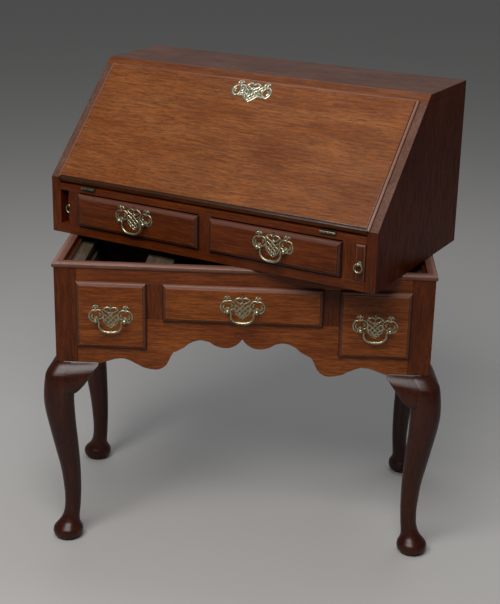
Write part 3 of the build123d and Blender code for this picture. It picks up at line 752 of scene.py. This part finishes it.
POST_X, POST_Y, POST_OUT = 29, -4, 10
boss = [(0.05, 1.2), (6.4, 1.2), (6.2, 2.2), (4.6, 2.9), (3.0, 3.2), (2.5, 4.2), (2.5, 6.2),
        (3.4, 7.0), (4.5, 8.8), (4.8, 10.6), (4.3, 12.6), (2.9, 14.2), (1.4, 14.9), (0.05, 15.1)]
bail_line = curve_through([(-31, -4), (-27, -4), (-23.5, -5.2), (-22.3, -9), (-22.6, -14), (-19.5, -21),
                           (-12.5, -26.5), (0, -28.2), (12.5, -26.5), (19.5, -21), (22.6, -14),
                           (22.3, -9), (23.5, -5.2), (27, -4), (31, -4)], 120)
swell = 1.75 + 1.15 * np.exp(-((np.linspace(-1, 1, 120) / 0.34) ** 2))
for name, (axes, _, _, (x, z)) in drawers.items():
    at = axes @ Matrix.Translation((x * MM, -LIP_PROUD * MM, z * MM)) @ FACING
    plate = fretted(f"{name}_fret", bands(SCROLLS, 3.4), at, name)
    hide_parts(f"{name}_plate")
    posts = fretted(f"{name}_bosses", [turned(boss, (side * POST_X, POST_Y)) for side in (1, -1)],
                    at, name)
    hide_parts(f"{name}_posts")
    line = np.column_stack([bail_line, np.full(len(bail_line), POST_OUT)])
    swing = fretted(f"{name}_drop", [round_bar(line, swell)], at, f"{name}_bail")
    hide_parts(f"{name}_bail")

# ---- The fall --------------------------------------------------------------------------------
# One wide quarter-sawn board with a lipped, thumb-moulded edge over the case's slanted edges, hung
# on two brass butt hinges; an openwork escutcheon is pinned over the keyhole near its top.
SLOPE = math.atan2(RISE, RUN)
PROUD = 5.0
slant = Matrix(((1, 0, 0, 0), (0, math.cos(SLOPE), -math.sin(SLOPE), 0),
                (0, math.sin(SLOPE), math.cos(SLOPE), FRONT_H), (0, 0, 0, 1)))
FALL = CASE @ slant
LOWER = 10 + (HINGE_Y * math.cos(SLOPE) + (HINGE_Z - FRONT_H) * math.sin(SLOPE)) / MM
UPPER = (UNDER_TOP - FRONT_H) / math.sin(SLOPE) / MM - 1.5
fall_oak = oak("fall oak", (0.056, 0.0130, 0.0026), (0.176, 0.0515, 0.0118), (0.238, 0.084, 0.0245),
               along="x", turn=TURN, shift=11.3, streaks=0.6, pores=0.8, grime=0.3, coat=0.08)
lip = np.vstack([
    [(0, 0.5, 1, 0), (0, 1.2, 1, 0)],
    np.column_stack([5.0 - 5.0 * np.cos(ovolo), 1.2 + 2.6 * np.sin(ovolo), 0.6 * (1 - rise),
                     0.9 * rise]),
    [(5.6, 3.6, 0.9, 0), (6.2, 4.6, 0.9, 0), (7.2, PROUD, 0.2, 0), (9, PROUD, 0, 0)],
]) * (MM, MM, 1, 1)
# The fall's lips get painted shade at their foot and a painted highlight, partly wear, strongest on the
# right lip.
fall_face = mitred("fall_face", (17 * MM, LOWER * MM), (733 * MM, (UPPER + 5) * MM), lip, FALL,
                   fall_oak, "fall", False, True, (1, 1, 0.3, 1), (0.1, 1, 0.3, 0.6))
# The lower lip faces down; painted shade marks it nearly black.
marked(fall_face, "shade_and_grime", np.append(np.full(len(lip) - 4, 0.93), [0.9, 0.9, 0.2, 0]), (1, 0, 0, 0))
board("fall_board", (24 * MM, LOWER * MM, -11 * MM), (726 * MM, UPPER * MM, 0.6 * MM), FALL, fall_oak,
      "fall")
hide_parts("fall")
keyhole_plate = turned([(0.05, 0.3), (7.5, 0.3), (7.3, 1.1), (6.2, 1.45), (0.05, 1.5)], (0, 1), 32)
at = FALL @ Matrix.Translation((375 * MM, 261 * MM, PROUD * MM))
RING_CLOSERS = [
    [(30.5, -8), (26.5, -4), (25.5, 3), (27, 10), (30, 14)],
    [(32, -8.5), (25, -9), (18, -8.5), (12, -12)],
]
pale_brass = brass("pale brass", (0.52, 0.52, 0.39), (0.17, 0.175, 0.125))
escutcheon = fretted("escutcheon_fret", bands(SCROLLS, 4.8) + bands(RING_CLOSERS, 4.2) + [keyhole_plate],
                     at, "fall", pale_brass)
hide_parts("escutcheon")
# The keyhole is a near-black disc and slot laid on the plate: painted shade standing for the hole.
key_round = turned([(0.05, 1.4), (2.0, 1.4), (2.0, 1.6), (0.05, 1.6)], (0, 3), 20)
key_slot = ribbon([(0, 3), (0, 0), (0, -3.4)], 1.9, 3.8, 0.25, 6)
fretted("keyhole", [key_round, key_slot], at, "fall", keyhole_shade)
# Brass at half its tone: painted shade for the hinges, which lie in the shadow under the fall's lower
# edge; the lock inside takes it too.
shaded_brass = brass("shaded brass", (0.20, 0.19, 0.13), (0.05, 0.048, 0.032))
cad["fall_lock"].data.materials.clear()
cad["fall_lock"].data.materials.append(shaded_brass)

# Where each hinge starts and ends along the case, from the plain hinges that these replace.
points = np.empty(len(cad["fall_hinge_fixed"].data.vertices) * 3)
cad["fall_hinge_fixed"].data.vertices.foreach_get("co", points)
along_case = (points.reshape(-1, 3) - np.array(CASE.translation)) @ np.array(across) / MM
on_left = along_case < CASE_W / MM / 2
HINGES = [(part.min(), part.max()) for part in (along_case[on_left], along_case[~on_left])]
KNUCKLE_R, KNUCKLE_GAP = 2.9, 0.15
axis_y, axis_z = HINGE_Y / MM, HINGE_Z / MM


def barrel(start, end):
    """One knuckle of a hinge along the case's width."""
    line = [(start, axis_y, axis_z), ((start + end) / 2, axis_y, axis_z), (end, axis_y, axis_z)]
    return round_bar(line, KNUCKLE_R, 20)


def leaf(start, end, back, top, thick):
    """A thin leaf from the pin back into its board, as one rectangle carried along the pin."""
    line = np.array([(start, axis_y, top), ((start + end) / 2, axis_y, top), (end, axis_y, top)])
    rectangle = np.array([[0, 0, 0], [0, back, 0], [0, back, thick], [0, 0, thick]])
    return line[:, None] + rectangle[None]


fixed_parts, moving_parts = [], []
for start, end in HINGES:
    cuts = np.linspace(start, end, 6)
    fixed_parts += [barrel(cuts[k] + KNUCKLE_GAP, cuts[k + 1] - KNUCKLE_GAP) for k in (0, 2, 4)]
    fixed_parts.append(leaf(start, end, 3.9, axis_z - 2.4, 1.2))
    moving_parts += [barrel(cuts[k] + KNUCKLE_GAP, cuts[k + 1] - KNUCKLE_GAP) for k in (1, 3)]
    moving_parts.append(leaf(start, end, 5.0, axis_z + 1.8, 1.0))
for name, parts, body in (("fixed", fixed_parts, "bureau"), ("moving", moving_parts, "fall")):
    half = fretted(f"hinge_{name}", parts, CASE, body, shaded_brass)
    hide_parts(f"fall_hinge_{name}")

# ---- The lopers ------------------------------------------------------------------------------
# Two oak supports that pull out beside the drawers under the open fall. Each has a moulded end, a
# small brass post and a drop ring; the left one is pushed in.
LOPER_LOW, LOPER_HIGH, LOPER_HALF, LOPER_L, PULL_Z = 20.4, 92.5, 10.4, 310, 56
small_lip = np.vstack([
    [(0, 0, 1, 0), (0, 1.0, 1, 0)],
    np.column_stack([3.0 - 3.0 * np.cos(ovolo), 1.0 + 2.4 * np.sin(ovolo), 0.7 * (1 - rise), rise]),
    [(3.4, 3.4, 0.8, 0), (3.9, 4.3, 0, 0.3), (5, 4.3, 0, 0)],
]) * (MM, MM, 1, 1)
ring_line = np.radians(np.linspace(-232, 52, 60))
ring_path = np.column_stack([8.3 * np.cos(ring_line), -7.6 + 8.3 * np.sin(ring_line),
                             7.0 + 0 * ring_line])
stem = [(0.05, 0), (4.6, 0), (4.4, 0.9), (2.4, 1.4), (2.0, 3.0), (2.9, 4.6), (3.5, 6.6), (3.2, 8.6),
        (2.0, 9.9), (0.05, 10.4)]
for side, x, y in (("left", 33, 22), ("right", 717, -3)):
    body = f"loper_{side}"
    x0, x1 = (x - LOPER_HALF) * MM, (x + LOPER_HALF) * MM
    bar = board(f"{body}_bar", (x0, (y + 4) * MM, LOPER_LOW * MM),
                (x1, (y + LOPER_L) * MM, LOPER_HIGH * MM), CASE, case_front_shaded, body)
    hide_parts(body)
    at = CASE @ Matrix.Translation((0, (y + 4.3) * MM, 0))
    # The moulded end gets painted shade at its foot and a painted highlight, partly wear, on its top
    # lip.
    lipped(f"{body}_end", (x0, LOPER_LOW * MM), (x1, LOPER_HIGH * MM), small_lip, at, case_upright,
           body, highlight_and_wear_sides=(0.1, 0.3, 1, 0.3))
    at = CASE @ Matrix.Translation((x * MM, y * MM, PULL_Z * MM)) @ FACING
    pull = fretted(f"{body}_stem", [turned(stem, (0, 0), 20)], at, body)
    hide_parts(f"loper_pull_{side}")
    pin = round_bar([(-5, 0, 7), (0, 0, 7), (5, 0, 7)], 1.1)
    ring = fretted(f"{body}_drop", [round_bar(ring_path, 1.5), pin], at, f"loper_ring_{side}")
    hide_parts(f"loper_ring_{side}")

# ---- Floor, light and camera -----------------------------------------------------------------
# A plain pale floor, a large soft light above the front, a weaker one above the back, and a faint
# even fill all round.
FAR = 40
floor_mesh = bpy.data.meshes.new("floor")
floor_mesh.from_pydata([(-FAR, -FAR, 0), (FAR, -FAR, 0), (FAR, FAR, 0), (-FAR, FAR, 0)], [],
                       [(0, 1, 2, 3)])
floor = bpy.data.objects.new("floor", floor_mesh)
bpy.context.scene.collection.objects.link(floor)
floor_finish = bpy.data.materials.new("pale floor")
floor_finish.use_nodes = True
floor_surface = floor_finish.node_tree.nodes["Principled BSDF"]
floor_surface.inputs["Base Color"].default_value = (0.42, 0.41, 0.395, 1)
floor_surface.inputs["Roughness"].default_value = 0.75
floor.data.materials.append(floor_finish)

world = bpy.data.worlds.new("studio")
world.use_nodes = True
world.node_tree.nodes["Background"].inputs["Color"].default_value = (0.95, 0.97, 1.0, 1)
world.node_tree.nodes["Background"].inputs["Strength"].default_value = 0.15
bpy.context.scene.world = world


def softbox(name, where, towards, size, power, tint):
    """A rectangular area light aimed at a point."""
    light = bpy.data.lights.new(name, "AREA")
    light.shape = "RECTANGLE"
    light.size, light.size_y = size
    light.energy = power
    light.color = tint
    made = bpy.data.objects.new(name, light)
    made.location = where
    made.rotation_euler = (Vector(towards) - Vector(where)).to_track_quat("-Z", "Y").to_euler()
    bpy.context.scene.collection.objects.link(made)


softbox("key", (-0.55, -1.8, 2.6), (0, 0, 0.6), (2.2, 1.3), 84, (1.0, 0.98, 0.96))
softbox("overhead", (0.2, 0.9, 2.9), (0, 0.1, 0.6), (2.4, 1.2), 24, (0.92, 0.95, 1.0))

camera_data = bpy.data.cameras.new("camera")
camera_data.sensor_width = 36
camera_data.lens = 77.24
camera = bpy.data.objects.new("camera", camera_data)
bpy.context.scene.collection.objects.link(camera)
bpy.context.scene.camera = camera
CAMERA_RIGHT, CAMERA_AHEAD, CAMERA_UP = 0.1324, 2.4074, 1.4317
YAW, PITCH, ROLL = 0.0492, -0.3500, 0.0212
right_way = Vector((math.cos(YAW), math.sin(YAW), 0))
forward = Vector((-math.sin(YAW) * math.cos(PITCH), math.cos(YAW) * math.cos(PITCH), math.sin(PITCH)))
upward = right_way.cross(forward)
rolled_right = math.cos(ROLL) * right_way + math.sin(ROLL) * upward
rolled_up = -math.sin(ROLL) * right_way + math.cos(ROLL) * upward
looking = Matrix((rolled_right, rolled_up, -forward)).transposed().to_4x4()
stands_at = (MIDDLE_X + CAMERA_RIGHT, STAND_LOW.y - CAMERA_AHEAD, CAMERA_UP)
camera.matrix_world = Matrix.Translation(stands_at) @ looking
bpy.context.scene.view_settings.view_transform = "Standard"
